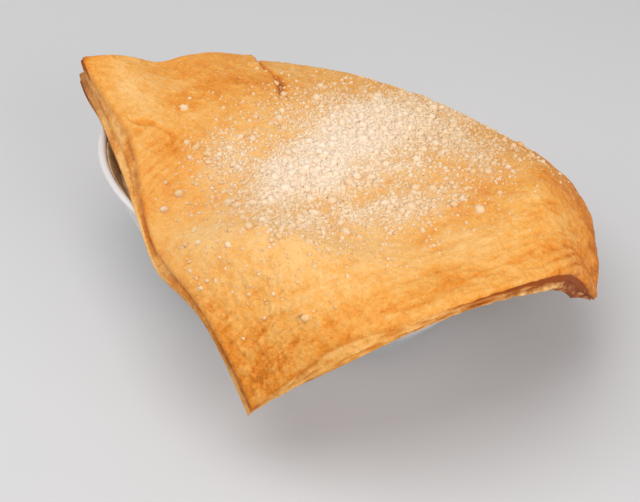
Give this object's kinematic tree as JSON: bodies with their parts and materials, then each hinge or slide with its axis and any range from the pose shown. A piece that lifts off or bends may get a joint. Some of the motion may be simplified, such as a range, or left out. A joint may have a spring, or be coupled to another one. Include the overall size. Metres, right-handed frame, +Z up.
{
  "type": "chicken pot pie",
  "caption": "Oval porcelain dish of chicken filling under a draped square of baked puff pastry, with cheese crumbs on top.",
  "frame": {"origin": "middle of the whole pie's footprint, at the underside of the dish's foot ring", "axes": "+Z up; +X along the oval dish's long side, towards the corner of the crust that hangs over the dish's end"},
  "size_m": [0.3226, 0.269, 0.1135],
  "materials": {
    "porcelain": "gloss",
    "sauce": "satin",
    "pastry": "satin",
    "cheese": "matte"
  },
  "bodies": {
    "root": {"dish": "porcelain", "filling": "sauce", "crust": "pastry"}
  },
  "joints": []
}
